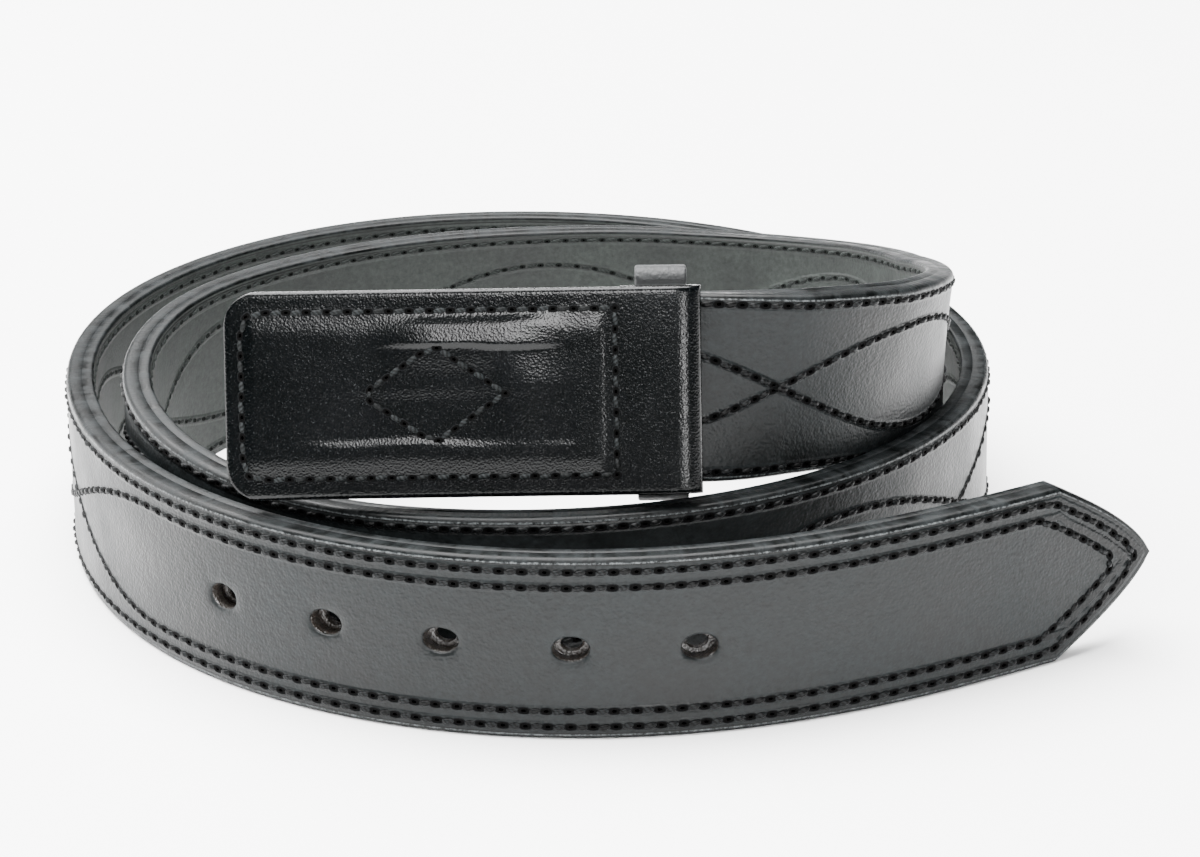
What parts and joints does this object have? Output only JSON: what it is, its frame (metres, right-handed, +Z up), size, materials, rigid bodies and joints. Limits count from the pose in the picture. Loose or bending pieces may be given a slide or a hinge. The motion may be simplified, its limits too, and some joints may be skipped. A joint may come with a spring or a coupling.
{
  "type": "stitched leather belt",
  "caption": "Two-ply stitched leather belt, coiled and standing on its edge, with a leather-covered buckle plate and a keeper loop.",
  "frame": {"origin": "on the floor, below the middle of the bounding box of the coiled belt", "axes": "+X to the right seen from the buckle's face, +Y away from the viewer, through the coil, +Z up"},
  "size_m": [0.2302, 0.2342, 0.0818],
  "materials": {
    "strap_face": "waxed black leather, fine grain",
    "strap_lining": "matte black lining leather",
    "buckle_leather": "glossy black leather",
    "steel": "plain flat steel",
    "keeper_leather": "grained leather, worn grey"
  },
  "bodies": {
    "root": {"strap_face": "strap_face", "strap_lining": "strap_lining", "buckle_cover_front": "buckle_leather", "buckle_cover_back": "buckle_leather", "buckle_frame": "steel", "keeper_loop": "keeper_leather"}
  },
  "joints": []
}
